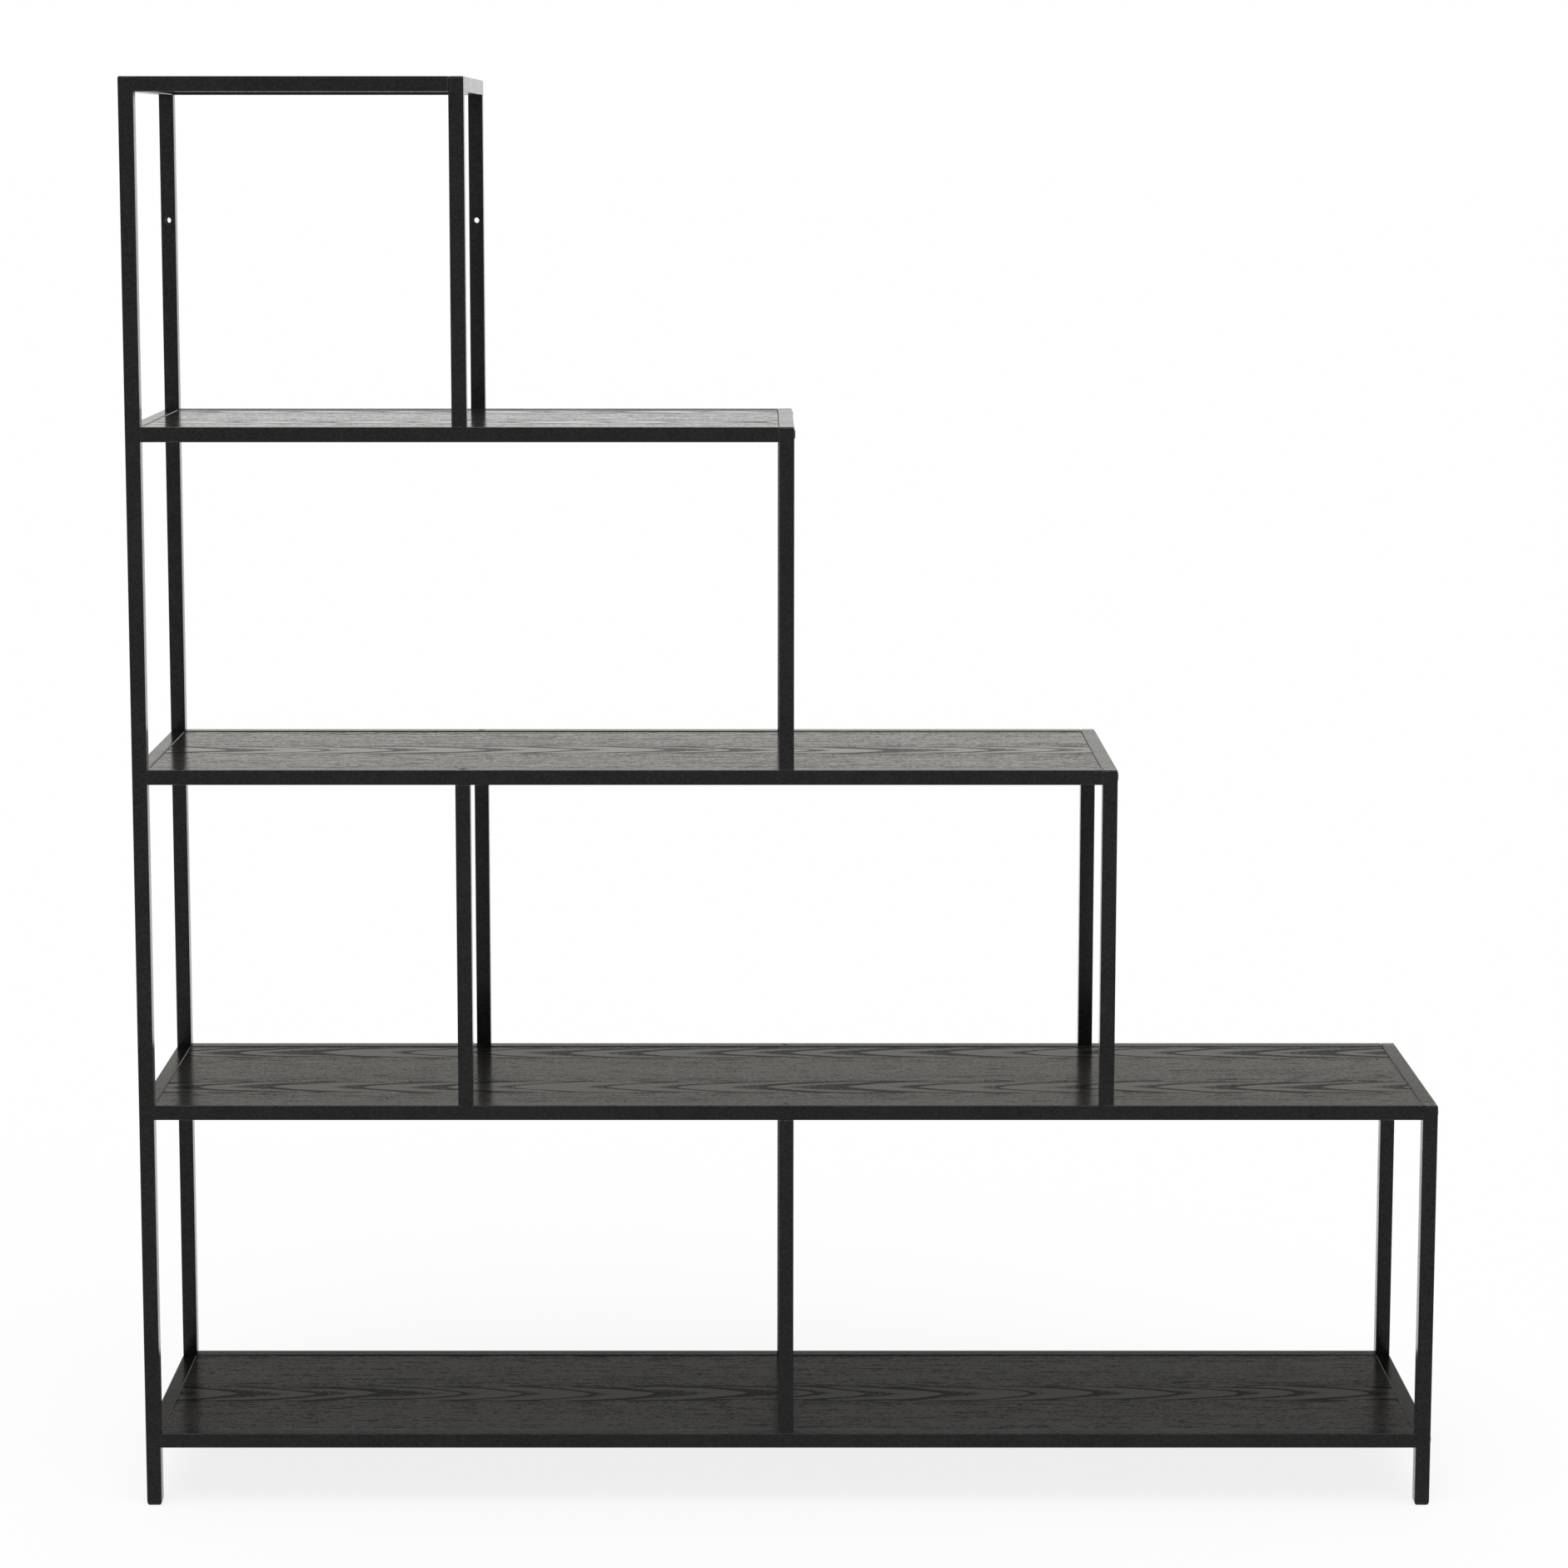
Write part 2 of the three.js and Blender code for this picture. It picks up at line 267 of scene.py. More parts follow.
class Shape(Graph):
    """A Geometry Nodes tree with named inputs. It ends in Realize Instances and Set Material."""

    def __init__(self, name, inputs):
        super().__init__(bpy.data.node_groups.new(name, "GeometryNodeTree"))
        interface = self.tree.interface
        for label, kind in {**inputs, "Material": "Material"}.items():
            interface.new_socket(label, in_out="INPUT", socket_type=f"NodeSocket{kind}")
        interface.new_socket("Geometry", in_out="OUTPUT", socket_type="NodeSocketGeometry")
        self.given = self.add("NodeGroupInput")

    def end(self, *meshes):
        joined = self.add("GeometryNodeJoinGeometry", inputs={"Geometry": meshes})["Geometry"]
        real = self.add("GeometryNodeRealizeInstances", inputs={"Geometry": joined})["Geometry"]
        inputs = {"Geometry": real, "Material": self.given["Material"]}
        painted = self.add("GeometryNodeSetMaterial", inputs=inputs)["Geometry"]
        self.add("NodeGroupOutput", inputs={"Geometry": painted})
        return self.tree

    def index(self):
        return self.add("GeometryNodeInputIndex")["Index"]

    def up(self, height):
        """The point on the Z axis at that height."""
        return self.combine(0.0, 0.0, height)

    def middle_of(self, start, end):
        inputs = {"Factor": 0.5, "A": start, "B": end}
        return self.add("ShaderNodeMix", {"data_type": "VECTOR"}, inputs)["Result"]

    def scaled(self, vector, factor):
        inputs = {"Vector": vector, "Scale": factor}
        return self.add("ShaderNodeVectorMath", {"operation": "SCALE"}, inputs)["Vector"]

    def along_path(self, start, way, distance):
        return self.vector_math("ADD", start, self.scaled(way, distance))

    def turned_to(self, way, axis="Z"):
        """The rotation that turns an axis to a way."""
        inputs = {"Vector": way}
        return self.add("FunctionNodeAlignRotationToVector", {"axis": axis}, inputs)["Rotation"]

    def moved(self, mesh, place, rotation=None):
        inputs = {"Geometry": mesh, "Translation": place}
        if rotation is not None:
            inputs["Rotation"] = rotation
        return self.add("GeometryNodeTransform", inputs=inputs)["Geometry"]

    def straight_curve(self, start, end):
        inputs = {"Start": start, "End": end}
        return self.add("GeometryNodeCurvePrimitiveLine", inputs=inputs)["Curve"]

    def resampled(self, curve, count):
        inputs = {"Curve": curve, "Count": count}
        return self.add("GeometryNodeResampleCurve", {"mode": "COUNT"}, inputs)["Curve"]

    def put(self, points, places):
        """The points, each at its own place."""
        inputs = {"Geometry": points, "Position": places}
        return self.add("GeometryNodeSetPosition", inputs=inputs)["Geometry"]

    def marked(self, curve, name, value):
        """The curve with a number kept on each of its points, for a material to read."""
        inputs = {"Geometry": curve, "Name": name, "Value": value}
        node = self.add("GeometryNodeStoreNamedAttribute", {"data_type": "FLOAT"}, inputs)
        return node["Geometry"]

    def sweep(self, path, profile, scale=1.0):
        inputs = {"Curve": path, "Profile Curve": profile, "Scale": scale, "Fill Caps": True}
        return self.add("GeometryNodeCurveToMesh", inputs=inputs)["Mesh"]

    def rounded_rectangle(self, width, height, radius):
        inputs = {"Width": width, "Height": height}
        flat = self.add("GeometryNodeCurvePrimitiveQuadrilateral", inputs=inputs)["Curve"]
        inputs = {"Curve": flat, "Radius": radius, "Limit Radius": True, "Count": CORNER_STEPS}
        return self.add("GeometryNodeFilletCurve", {"mode": "POLY"}, inputs)["Curve"]

    def cylinder(self, sides, radius, depth):
        inputs = {"Vertices": sides, "Radius": radius, "Depth": depth}
        return self.add("GeometryNodeMeshCylinder", inputs=inputs)["Mesh"]

    def boolean(self, operation, first, others):
        settings = {"operation": operation, "solver": "EXACT"}
        inputs = {"Mesh 1": first, "Mesh 2": others}
        if operation == "UNION":
            inputs = {"Mesh": [first, *others]}
        return self.add("GeometryNodeMeshBoolean", settings, inputs)["Mesh"]

    def bar(self, start, end, size, corner, start_ease, end_ease):
        """A square bar between two points. An ease is how long and how deep an end is rounded."""
        count = 2 * (EASE_STEPS + 1)
        points = self.resampled(self.straight_curve((0, 0, 0), (1, 0, 0)), count)
        index = self.index()
        late = self.math("GREATER_THAN", index, EASE_STEPS + 0.5)
        step = self.math("MINIMUM", index, (count - 1) - index)
        angle = step * (math.pi / 2 / EASE_STEPS)
        long = start_ease[0] + late * (end_ease[0] - start_ease[0])
        deep = start_ease[1] + late * (end_ease[1] - start_ease[1])
        length = self.vector_math("DISTANCE", start, end, result="Value")
        near = long * (1 - self.math("COSINE", angle))
        place = near + late * (length - near - near)
        points = self.put(points, self.combine(place, 0.0, 0.0))
        rounding = 1 - self.math("SINE", angle)
        # An end rounded past the least amount is painted lighter: coat wear, and a painted
        # highlight on its rim
        worn_end = self.math("GREATER_THAN", rounding, LEAST_WORN_AND_HIGHLIT_ROUNDING)
        points = self.marked(points, "worn_end", worn_end)

        # The points round a corner of the profile: those nearest its middle are its edge, painted
        # lighter as coat wear and as a faint painted highlight
        profile = self.rounded_rectangle(size, size, corner)
        off_middle = self.math("MODULO", index, CORNER_STEPS + 1) - CORNER_STEPS / 2
        worn_edge = self.math("LESS_THAN", self.math("ABSOLUTE", off_middle), 1.0)
        profile = self.marked(profile, "worn_edge", worn_edge)
        lying = self.sweep(points, profile, scale=1 - deep * rounding / size * 2)
        way = self.vector_math("SUBTRACT", end, start)
        return self.moved(lying, start, self.turned_to(way, "X"))


def tube_hollow(shape, start, end, way):
    """A block as wide as a tube's inside, and as long as the tube is between its end plates."""
    given = shape.given
    inside = given["Size"] - 2 * given["Wall"]
    length = shape.vector_math("DISTANCE", start, end, result="Value")
    hollow_length = length - given["Start Plate"] - given["End Plate"]
    across = shape.combine(inside, inside, inside)
    longer = shape.scaled(shape.vector_math("ABSOLUTE", way), hollow_length - inside)
    inputs = {"Size": shape.vector_math("ADD", across, longer)}
    block = shape.add("GeometryNodeMeshCube", inputs=inputs)["Mesh"]
    shift = (given["Start Plate"] - given["End Plate"]) * 0.5
    return shape.moved(block, shape.along_path(shape.middle_of(start, end), way, shift))


def tabs_in_row(shape):
    """Flat tabs with rounded corners, evenly spread."""
    given = shape.given
    outline = shape.rounded_rectangle(given["Tab Width"], given["Tab Depth"], TAB_CORNER)
    thickness = shape.straight_curve((0, 0, -TAB_THICKNESS / 2), (0, 0, TAB_THICKNESS / 2))
    tab = shape.sweep(thickness, outline)
    inputs = {
        "Count": given["Tab Count"],
        "Start Location": given["First Tab"],
        "Offset": given["Tab Step"],
    }
    row = shape.add("GeometryNodeMeshLine", inputs=inputs)["Mesh"]
    inputs = {"Points": row, "Instance": tab}
    return shape.add("GeometryNodeInstanceOnPoints", inputs=inputs)["Instances"]


def tube_tree(drilled, capped, tabbed):
    """A square steel tube between two points: hollow, with eased ends, and closed by end plates."""
    shape = Shape("square tube", {
        "Start": "Vector", "End": "Vector", "Size": "Float", "Wall": "Float",
        "Corner Radius": "Float", "Start Ease": "Float", "End Ease": "Float",
        "Start Plate": "Float", "End Plate": "Float", "Cap Thickness": "Float",
        "Hole Place": "Vector", "Hole Way": "Vector", "Hole Radius": "Float",
        "First Tab": "Vector", "Tab Step": "Vector", "Tab Count": "Int",
        "Tab Width": "Float", "Tab Depth": "Float",
    })
    given = shape.given
    start = given["Start"]
    full_end = given["End"]
    size = given["Size"]
    way = shape.vector_math("NORMALIZE", shape.vector_math("SUBTRACT", full_end, start))
    end = full_end
    if capped:
        end = shape.along_path(full_end, way, given["Cap Thickness"] * -1)
    start_ease = (given["Start Ease"], given["Start Ease"])
    end_ease = (given["End Ease"], given["End Ease"])
    solid = shape.bar(start, end, size, given["Corner Radius"], start_ease, end_ease)
    cuts = [tube_hollow(shape, start, end, way)]
    if drilled:
        drill = shape.cylinder(HOLE_SIDES, given["Hole Radius"], size * 2)
        cuts.append(shape.moved(drill, given["Hole Place"], shape.turned_to(given["Hole Way"])))
    parts = [shape.boolean("DIFFERENCE", solid, cuts)]
    if capped:
        cap_size = size - 2 * CAP_INSET
        seat_ease = (WELDED_EASE, WELDED_EASE)
        top_ease = (CAP_INSET / 2, CAP_INSET / 2)
        parts.append(shape.bar(end, full_end, cap_size, CAP_CORNER, seat_ease, top_ease))
    if tabbed:
        parts.append(tabs_in_row(shape))
    return shape.end(*parts)


def foot_tree():
    """A plastic foot: a flange that tapers to the floor, and a stem inside the tube."""
    shape = Shape("foot", {
        "Floor Point": "Vector", "Size": "Float", "Height": "Float",
        "Taper Height": "Float", "Taper Inset": "Float",
        "Stem Size": "Float", "Stem Height": "Float",
    })
    given = shape.given
    floor_point = given["Floor Point"]
    height = given["Height"]
    rim = shape.vector_math("ADD", floor_point, shape.up(height))
    taper = (given["Taper Height"], given["Taper Inset"])
    rim_ease = (FOOT_RIM_EASE, FOOT_RIM_EASE)
    flange = shape.bar(floor_point, rim, given["Size"], CORNER_RADIUS, taper, rim_ease)
    stem_start = shape.vector_math("ADD", floor_point, shape.up(height * 0.5))
    stem_end = shape.vector_math("ADD", rim, shape.up(given["Stem Height"]))
    ease = (STEM_EASE, STEM_EASE)
    stem = shape.bar(stem_start, stem_end, given["Stem Size"], STEM_EASE, ease, ease)
    return shape.end(shape.boolean("UNION", flange, [stem]))


def button_head(shape):
    """A low crown that is turned: rings along its axis, each with its own radius."""
    given = shape.given
    radius = given["Head Radius"]
    rim = given["Rim"]
    flat = given["Flat Radius"]
    rings = shape.resampled(shape.straight_curve((0, 0, 0), (0, 0, 1)), HEAD_STEPS + 3)
    index = shape.index()
    on_crown = shape.math("GREATER_THAN", index, 1.5)
    angle = (index - 2) * (math.pi / 2 / HEAD_STEPS)
    crown_height = rim + (given["Head Height"] - rim) * shape.math("SINE", angle)
    crown_radius = flat + (radius - flat) * shape.math("COSINE", angle)
    seat_height = index * HEAD_CHAMFER
    seat_radius = radius - (1 - index) * HEAD_CHAMFER
    ring_height = seat_height + on_crown * (crown_height - seat_height)
    ring_radius = seat_radius + on_crown * (crown_radius - seat_radius)
    rings = shape.put(rings, shape.up(ring_height))
    inputs = {"Resolution": BOLT_SIDES, "Radius": 1.0}
    circle = shape.add("GeometryNodeCurvePrimitiveCircle", inputs=inputs)["Curve"]
    return shape.sweep(rings, circle, scale=ring_radius)


def flush_head(shape):
    """A cone under a short rim, whose top is at the seat's height."""
    given = shape.given
    radius = given["Head Radius"]
    rim = given["Rim"]
    cone = radius - given["Shank Radius"]
    inputs = {
        "Vertices": BOLT_SIDES,
        "Radius Top": radius,
        "Radius Bottom": given["Shank Radius"],
        "Depth": cone,
    }
    lower = shape.add("GeometryNodeMeshCone", inputs=inputs)["Mesh"]
    lower = shape.moved(lower, shape.up(0 - rim - cone))
    upper = shape.moved(shape.cylinder(BOLT_SIDES, radius, rim), shape.up(rim * -0.5))
    return shape.boolean("UNION", lower, [upper])


def bolt_tree(make_head):
    """A bolt on each point of a mesh, along the point's outward way."""
    shape = Shape("bolts", {
        "Geometry": "Geometry", "Head Radius": "Float", "Head Height": "Float",
        "Rim": "Float", "Flat Radius": "Float", "Shank Radius": "Float",
        "Shank Length": "Float", "Shank Top": "Float",
        "Socket Across": "Float", "Socket Depth": "Float", "Seed": "Int",
    })
    given = shape.given
    head = make_head(shape)
    shank_top = given["Shank Top"]
    depth = given["Shank Length"] + shank_top
    shank = shape.cylinder(BOLT_SIDES, given["Shank Radius"], depth)
    shank = shape.moved(shank, shape.up(shank_top - depth * 0.5))
    across_corners = given["Socket Across"] / math.sqrt(3)
    key = shape.cylinder(6, across_corners, given["Socket Depth"] * 2)
    key = shape.moved(key, shape.up(given["Head Height"]))
    bolt = shape.boolean("DIFFERENCE", shape.boolean("UNION", head, [shank]), [key])

    settings = {"data_type": "FLOAT_VECTOR"}
    inputs = {"Name": "outward"}
    outward = shape.add("GeometryNodeInputNamedAttribute", settings, inputs)["Attribute"]
    inputs = {"Min": 0.0, "Max": math.pi / 3, "ID": shape.index(), "Seed": given["Seed"]}
    turn = shape.add("FunctionNodeRandomValue", {"data_type": "FLOAT"}, inputs)["Value"]
    inputs = {"Axis": (0, 0, 1), "Angle": turn}
    spin = shape.add("FunctionNodeAxisAngleToRotation", inputs=inputs)["Rotation"]
    settings = {"rotation_space": "LOCAL"}
    inputs = {"Rotation": shape.turned_to(outward), "Rotate By": spin}
    turned = shape.add("FunctionNodeRotateRotation", settings, inputs)["Rotation"]
    inputs = {"Points": given["Geometry"], "Instance": bolt, "Rotation": turned}
    return shape.end(shape.add("GeometryNodeInstanceOnPoints", inputs=inputs)["Instances"])


# Pieces


def as_plain_mesh(piece):
    """Takes what the piece's modifiers make as its mesh, and removes them."""
    bpy.context.view_layer.update()
    evaluated = piece.evaluated_get(bpy.context.evaluated_depsgraph_get())
    mesh = bpy.data.meshes.new_from_object(evaluated)
    piece.modifiers.clear()
    piece.data = mesh
    mesh.name = piece.name


def finished(piece, nodes):
    """Shades the piece, lets it stand for its CAD nodes, and names its body."""
    piece.data.shade_smooth()
    piece.data.set_sharp_from_angle(angle=SMOOTH_BELOW)
    weighted = piece.modifiers.new("weighted normals", "WEIGHTED_NORMAL")
    weighted.keep_sharp = True
    as_plain_mesh(piece)
    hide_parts(*nodes)
    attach(piece, "root")


def new_piece(name, mesh=None):
    piece = bpy.data.objects.new(name, mesh or bpy.data.meshes.new(name))
    bpy.context.scene.collection.objects.link(piece)
    return piece


def shaped(piece, tree, values):
    """Runs a tree on the piece with its named inputs, and keeps the result as a plain mesh."""
    modifier = piece.modifiers.new("shape", "NODES")
    modifier.node_group = tree
    for item in tree.interface.items_tree:
        if item.in_out == "INPUT" and item.name in values:
            modifier[item.identifier] = values[item.name]
    as_plain_mesh(piece)
    return piece


# One tree for each kind of tube: with a hole or not, with a cap or not, with tabs or not
tube_trees = {}


def make_tube(node, start, end, steel, ends=(END_EASE, END_EASE),
              plates=(END_PLATE, END_PLATE), cap=0.0, hole=None, tabs=None):
    """A tube of the frame, between two points on its axis."""
    kind = (hole is not None, cap > 0, tabs is not None)
    if kind not in tube_trees:
        tube_trees[kind] = tube_tree(*kind)
    values = {
        "Start": start, "End": end, "Size": TUBE, "Wall": TUBE_WALL,
        "Corner Radius": CORNER_RADIUS, "Start Ease": ends[0], "End Ease": ends[1],
        "Start Plate": plates[0], "End Plate": plates[1], "Cap Thickness": cap,
        "Material": steel, **(hole or {}), **(tabs or {}),
    }
    piece = shaped(new_piece(f"coated_{node}"), tube_trees[kind], values)
    finished(piece, [node])


def tab_row(start, end, inward):
    """The tabs of a rail: evenly spread along it, under the panel, on its inner side."""
    length = (end - start).length
    way = (end - start).normalized()
    count = max(1, round(length / TAB_SPACING))
    step = length / count
    panel_under = top_of("base") - lowest("base_panel").z
    reach = TAB_REACH + TUBE_WALL
    inset = HALF_TUBE - TUBE_WALL + reach / 2
    down = Vector((0, 0, HALF_TUBE - panel_under - TAB_THICKNESS / 2))
    along_x = abs(way.x) > abs(way.y)
    return {
        "First Tab": start + way * (step / 2) + inward * inset + down,
        "Tab Step": way * step,
        "Tab Count": count,
        "Tab Width": TAB_LENGTH if along_x else reach,
        "Tab Depth": reach if along_x else TAB_LENGTH,
    }


def hole_at(place, way, radius):
    return {"Hole Place": place, "Hole Way": way, "Hole Radius": radius}


def hole_in_wall(axis_point, way, radius):
    """A hole in one wall of a tube: the wall that lies that way from a point on its axis."""
    return hole_at(axis_point + way * TUBE, way, radius)


def make_long_rails(steel):
    for level in LEVELS:
        height = top_of(level) - HALF_TUBE
        for side, y in POST_LINE.items():
            start = Vector((LEFT + TUBE, y, height))
            end = Vector((right_of(level) - TUBE, y, height))
            inward = Vector((0, INWARD[side], 0))
            hole = None
            tabs = None
            if level == "top":
                drain = start + Vector((DRAIN_HOLE_INSET, 0, 0))
                hole = hole_in_wall(drain, inward, DRAIN_HOLE_RADIUS)
            else:
                tabs = tab_row(start, end, inward)
            if level in BOLTED_DOWN:
                seat = Vector((post_middle(BOLTED_DOWN[level]), y, height))
                hole = hole_in_wall(seat, UP, FLUSH_HEAD_RADIUS + FLUSH_HEAD_GAP)
            make_tube(f"{level}_{side}_rail", start, end, steel, hole=hole, tabs=tabs)


def make_side_rails(steel):
    welded = (WELDED_EASE, WELDED_EASE)
    for level in LEVELS:
        height = top_of(level) - HALF_TUBE
        for name, x, way in (("left", LEFT + HALF_TUBE, 1), ("right", post_middle(level), -1)):
            start = Vector((x, POST_LINE["front"] + HALF_TUBE, height))
            end = Vector((x, POST_LINE["back"] - HALF_TUBE, height))
            tabs = None if level == "top" else tab_row(start, end, Vector((way, 0, 0)))
            make_tube(f"{level}_{name}_rail", start, end, steel, ends=welded, tabs=tabs)


def make_posts(steel):
    # Each post's middle along X, and the heights of its foot and its head
    floor_posts = {
        "left": (LEFT + HALF_TUBE, FOOT_TOP, top_of("top")),
        "lower_right": (post_middle("lower"), FOOT_TOP, top_of("lower")),
    }
    standing_posts = {
        "middle_right": (post_middle("middle"), top_of("lower"), top_of("middle")),
        "upper_right": (post_middle("upper"), top_of("middle"), top_of("upper")),
        "top_right": (post_middle("top"), top_of("upper"), top_of("top")),
    }
    inner_posts = {
        f"{shelf}_inner": (post_middle(above), top_of(below), top_of(shelf) - TUBE)
        for (shelf, above), below in zip(BOLTED_DOWN.items(), SHELVES)
    }
    for name, (x, foot, head) in {**floor_posts, **standing_posts, **inner_posts}.items():
        on_floor = name in floor_posts
        cap = 0.0 if name in inner_posts else CAP_THICKNESS
        plates = (OPEN_END if on_floor else END_PLATE, END_PLATE)
        ends = (WELDED_EASE if on_floor else END_EASE, END_EASE)
        for side, y in POST_LINE.items():
            hole = None
            if side == "back" and head == top_of("top"):
                place = Vector((x, y, head - WALL_HOLE_DROP))
                hole = hole_at(place, BACKWARD, WALL_HOLE_RADIUS)
            start = Vector((x, y, foot))
            end = Vector((x, y, head))
            make_tube(f"{name}_{side}_post", start, end, steel, ends, plates, cap, hole)


def make_panels():
    """Boards with eased edges. The grain differs from shelf to shelf."""
    faces = [(0, 1, 3, 2), (4, 6, 7, 5), (0, 4, 5, 1), (2, 3, 7, 6), (0, 2, 6, 4), (1, 5, 7, 3)]
    for number, shelf in enumerate(SHELVES):
        node = f"{shelf}_panel"
        corners = list(product(*zip(*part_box(node))))
        mesh = bpy.data.meshes.new(f"ash_{node}")
        mesh.from_pydata(corners, [], faces)
        piece = new_piece(f"ash_{node}", mesh)
        eased = piece.modifiers.new("eased edges", "BEVEL")
        eased.width = PANEL_EASE
        eased.segments = PANEL_EASE_STEPS
        as_plain_mesh(piece)
        piece.data.materials.append(ash_finish(shelf, number))
        finished(piece, [node])


def make_feet(plastic):
    tree = foot_tree()
    shared = {
        "Size": TUBE, "Height": FOOT_TOP, "Taper Height": FOOT_TAPER_HEIGHT,
        "Taper Inset": FOOT_TAPER_INSET, "Stem Size": TUBE - 2 * (TUBE_WALL + STEM_CLEARANCE),
        "Stem Height": STEM_HEIGHT, "Material": plastic,
    }
    for name, x in (("left", LEFT + HALF_TUBE), ("right", post_middle("base"))):
        for side, y in POST_LINE.items():
            values = {"Floor Point": Vector((x, y, 0)), **shared}
            piece = shaped(new_piece(f"moulded_{name}_{side}_foot"), tree, values)
            finished(piece, [f"{name}_{side}_foot"])


def make_bolts(name, seats, outward, tree, sizes):
    """One piece of bolts. Each seat's node gives the bolt that it stands for."""
    mesh = bpy.data.meshes.new(name)
    mesh.from_pydata(list(seats.values()), [], [])
    ways = mesh.attributes.new("outward", "FLOAT_VECTOR", "POINT")
    for item in ways.data:
        item.vector = outward
    shared = {
        "Shank Radius": SHANK_RADIUS, "Shank Length": SHANK_LENGTH,
        "Socket Across": SOCKET_ACROSS, "Socket Depth": SOCKET_DEPTH, "Seed": BOLT_SEED,
    }
    piece = shaped(new_piece(name, mesh), tree, {**shared, **sizes})
    finished(piece, list(seats))


def make_end_bolts(steel):
    """Bolts through the right-hand posts into the long rails."""
    seats = {
        f"{shelf}_{side}_bolt": Vector((right_of(shelf), y, top_of(shelf) - HALF_TUBE))
        for shelf in SHELVES for side, y in POST_LINE.items()
    }
    sizes = {
        "Head Radius": HEAD_RADIUS, "Head Height": HEAD_HEIGHT, "Rim": HEAD_RIM,
        "Flat Radius": HEAD_FLAT, "Shank Top": HEAD_RIM / 2, "Material": steel,
    }
    make_bolts("end_bolts", seats, RIGHTWARD, bolt_tree(button_head), sizes)


def make_inner_post_bolts(steel):
    """Bolts down through the long rails into the posts under a shelf."""
    seats = {
        f"{shelf}_inner_{side}_bolt": Vector((post_middle(above), y, top_of(shelf)))
        for shelf, above in BOLTED_DOWN.items() for side, y in POST_LINE.items()
    }
    sizes = {
        "Head Radius": FLUSH_HEAD_RADIUS, "Head Height": 0.0, "Rim": FLUSH_HEAD_RIM,
        "Shank Top": -FLUSH_HEAD_RIM, "Material": steel,
    }
    make_bolts("inner_post_bolts", seats, UP, bolt_tree(flush_head), sizes)


# Finishes. A noise's scale is in features for each metre, and colours are linear.


class Finish(Graph):
    """A material on Object coordinates, which are the shared frame's."""

    def __init__(self, name):
        self.material = bpy.data.materials.new(name)
        self.material.use_nodes = True
        super().__init__(self.material.node_tree)
        self.tree.nodes.clear()
        self.place = self.add("ShaderNodeTexCoord")["Object"]

    def noise(self, place, scale=1.0, detail=2.0):
        inputs = {"Vector": place, "Scale": scale, "Detail": detail}
        return self.add("ShaderNodeTexNoise", inputs=inputs)["Fac"]

    def chance(self, place):
        """A number between 0 and 1 that has nothing to do with its neighbours'."""
        return self.add("ShaderNodeTexWhiteNoise", inputs={"Vector": place})["Value"]

    def mix(self, share, first, second):
        """A colour between two colours."""
        return self.blend(share, (*first, 1.0), (*second, 1.0))

    def blend(self, share, first, second):
        """A colour between two colours with alpha, either of which may be a node's output."""
        inputs = {"Factor": share, "A": first, "B": second}
        return self.add("ShaderNodeMix", {"data_type": "RGBA"}, inputs)["Result"]

    def mark(self, name):
        """A number that the piece's points carry, such as how far their coat is painted lighter for
        wear and highlight.
        """
        return self.add("ShaderNodeAttribute", {"attribute_name": name})["Fac"]

    def bump(self, height, distance):
        inputs = {"Height": height, "Distance": distance}
        return self.add("ShaderNodeBump", inputs=inputs)["Normal"]

    def surface(self, **inputs):
        """The finished material. Each input is a socket of the shader, in small letters."""
        named = {}
        for name, value in inputs.items():
            named[name.replace("_", " ").title().replace("Ior", "IOR")] = value
        shader = self.add("ShaderNodeBsdfPrincipled", inputs=named)["BSDF"]
        self.add("ShaderNodeOutputMaterial", inputs={"Surface": shader})
        return self.material


DEEP_BLACK = (0.001, 0.001, 0.001)
SOFT_BLACK = (0.0068, 0.0068, 0.0069)
BLACK_SPECULAR = 0.15
BLACK_IOR = 1.19

COAT_GRAIN = 1300.0
COAT_PEEL = 330.0
COAT_PATCHES = 24.0
COAT_HANDLING = 5.0
COAT_RELIEF = 0.00004
# The lighter grey of rubbed coat, which also paints a highlight on the ends and edges
WORN_AND_HIGHLIT_COAT = (0.11, 0.11, 0.108)
END_WEAR_AND_HIGHLIGHT = 0.8
EDGE_WEAR_AND_HIGHLIGHT = 0.12


